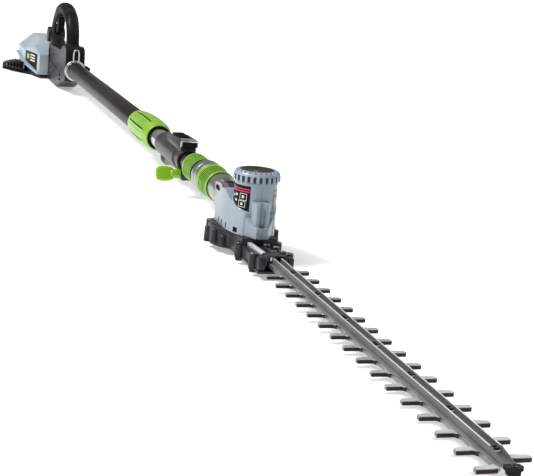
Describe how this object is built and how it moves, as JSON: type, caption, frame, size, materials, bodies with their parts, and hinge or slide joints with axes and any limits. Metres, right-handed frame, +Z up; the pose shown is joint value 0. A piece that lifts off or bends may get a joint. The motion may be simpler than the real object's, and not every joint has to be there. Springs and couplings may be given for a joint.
{
  "type": "telescopic pole hedge trimmer",
  "caption": "Battery pole hedge trimmer: tilting motor head with reciprocating toothed blades, telescopic pole with twist collar, rear D-handle, hood and stand.",
  "frame": {"origin": "bottom centre of the bounding box at rest, on the ground plane under the pole axis", "axes": "+X along the pole towards the blade tip, +Y to the user's left, +Z up"},
  "size_m": [2.408, 0.205, 0.1787],
  "materials": {
    "grey_plastic": "fine-textured light blue-grey moulding",
    "green_plastic": "satin lime-green moulding",
    "black_plastic": "dark charcoal moulding",
    "carbon_tube": "dark brown-black lacquered tube",
    "tube_alloy": "drawn tube",
    "casting": "dark grey coated die casting",
    "blade_steel": "ground blade steel",
    "steel": "turned or pressed steel",
    "dark_steel": "blackened steel",
    "winding": "copper winding on a laminated core",
    "label_film": "printed film label",
    "circuit_board": "circuit board"
  },
  "bodies": {
    "rear_unit": {"outer_pole": "carbon_tube", "pole_end_ring": "steel", "harness_eyelet": "steel", "handle_shell_left": "black_plastic", "handle_shell_right": "black_plastic", "rear_hood": "grey_plastic", "battery_housing": "black_plastic", "rear_stand": "black_plastic", "control_board": "circuit_board", "battery_terminals": "black_plastic", "pole_collet": "black_plastic"},
    "trigger": {"trigger": "black_plastic"},
    "lock_off": {"lock_off_lever": "green_plastic"},
    "twist_collar": {"twist_collar": "green_plastic"},
    "telescope": {"inner_tube": "tube_alloy", "coupler_body": "casting", "latch_frame": "dark_steel", "clamp_bolt": "steel", "button_spring": "steel"},
    "release_button": {"release_button": "black_plastic"},
    "clamp_knob": {"clamp_knob": "green_plastic"},
    "head_shaft": {"head_shaft": "dark_steel", "grip_ring": "green_plastic", "pivot_yoke": "steel", "pivot_pin": "dark_steel", "sleeve_spring": "steel"},
    "lock_sleeve": {"lock_sleeve": "green_plastic", "lock_collar": "steel"},
    "head": {"gearbox_casting": "casting", "gearbox_bottom_cover": "casting", "gearbox_bolt_1": "dark_steel", "gearbox_bolt_2": "dark_steel", "gearbox_bolt_3": "dark_steel", "gearbox_bolt_4": "dark_steel", "motor_housing_left": "grey_plastic", "motor_housing_right": "grey_plastic", "motor_cap": "grey_plastic", "cap_disc": "black_plastic", "warning_label": "label_film", "motor_stator": "winding", "rotor_bearing": "steel", "blade_rail": "steel", "nose_guard": "dark_steel", "rail_bolt_1": "dark_steel", "rail_bolt_2": "dark_steel", "rail_bolt_3": "dark_steel", "rail_bolt_4": "dark_steel", "rail_bolt_5": "dark_steel", "rail_bolt_6": "dark_steel", "rail_bolt_7": "dark_steel"},
    "rotor": {"motor_rotor": "dark_steel"},
    "gear": {"drive_gear": "steel"},
    "upper_blade": {"upper_blade": "blade_steel"},
    "lower_blade": {"lower_blade": "blade_steel"}
  },
  "joints": [
    {"name": "trigger_squeeze", "type": "hinge", "parent": "rear_unit", "child": "trigger", "pos_m": [-0.96, 0, 0.143], "axis": [0, 1, 0], "range_deg": [0, 10], "stiffness_Nm_per_rad": 0.6, "springref_deg": -14.32},
    {"name": "lock_off_press", "type": "hinge", "parent": "rear_unit", "child": "lock_off", "pos_m": [-0.98, 0, 0.154], "axis": [0, -1, 0], "range_deg": [0, 8], "stiffness_Nm_per_rad": 0.4, "springref_deg": -14.32},
    {"name": "collar_twist", "type": "hinge", "parent": "rear_unit", "child": "twist_collar", "pos_m": [-0.019, 0, 0.052], "axis": [1, 0, 0], "range_deg": [0, 60]},
    {"name": "pole_telescope", "type": "slide", "parent": "rear_unit", "child": "telescope", "axis": [1, 0, 0], "range_m": [0, 0.5]},
    {"name": "button_press", "type": "slide", "parent": "telescope", "child": "release_button", "axis": [0, 0, -1], "range_m": [0, 0.003], "stiffness_N_per_m": 1500, "springref_m": -0.003},
    {"name": "knob_turn", "type": "hinge", "parent": "telescope", "child": "clamp_knob", "pos_m": [0.226, 0, 0.0315], "axis": [0, 1, 0], "range_deg": [-20, 50]},
    {"name": "head_extension", "type": "slide", "parent": "telescope", "child": "head_shaft", "axis": [1, 0, 0], "range_m": [0, 0.04]},
    {"name": "sleeve_retract", "type": "slide", "parent": "head_shaft", "child": "lock_sleeve", "axis": [-1, 0, 0], "range_m": [0, 0.01], "stiffness_N_per_m": 1200, "springref_m": -0.006},
    {"name": "head_tilt", "type": "hinge", "parent": "head_shaft", "child": "head", "pos_m": [0.461, 0, 0.052], "axis": [0, 1, 0], "range_deg": [-45, 60]},
    {"name": "gear_spin", "type": "hinge", "parent": "head", "child": "gear", "pos_m": [0.5115, 0, 0.023], "axis": [0, 0, 1], "continuous": true},
    {"name": "motor_spin", "type": "hinge", "parent": "head", "child": "rotor", "pos_m": [0.5515, 0, 0.05], "axis": [0, 0, 1], "continuous": true},
    {"name": "upper_blade_stroke", "type": "slide", "parent": "head", "child": "upper_blade", "axis": [1, 0, 0], "range_m": [-0.00825, 0.00825]},
    {"name": "lower_blade_stroke", "type": "slide", "parent": "head", "child": "lower_blade", "axis": [1, 0, 0], "range_m": [-0.00825, 0.00825]}
  ],
  "couplings": [
    {"joint": "motor_spin", "follows": "gear_spin", "ratio": -5.6667},
    {"joint": "lower_blade_stroke", "follows": "upper_blade_stroke", "ratio": -1}
  ]
}
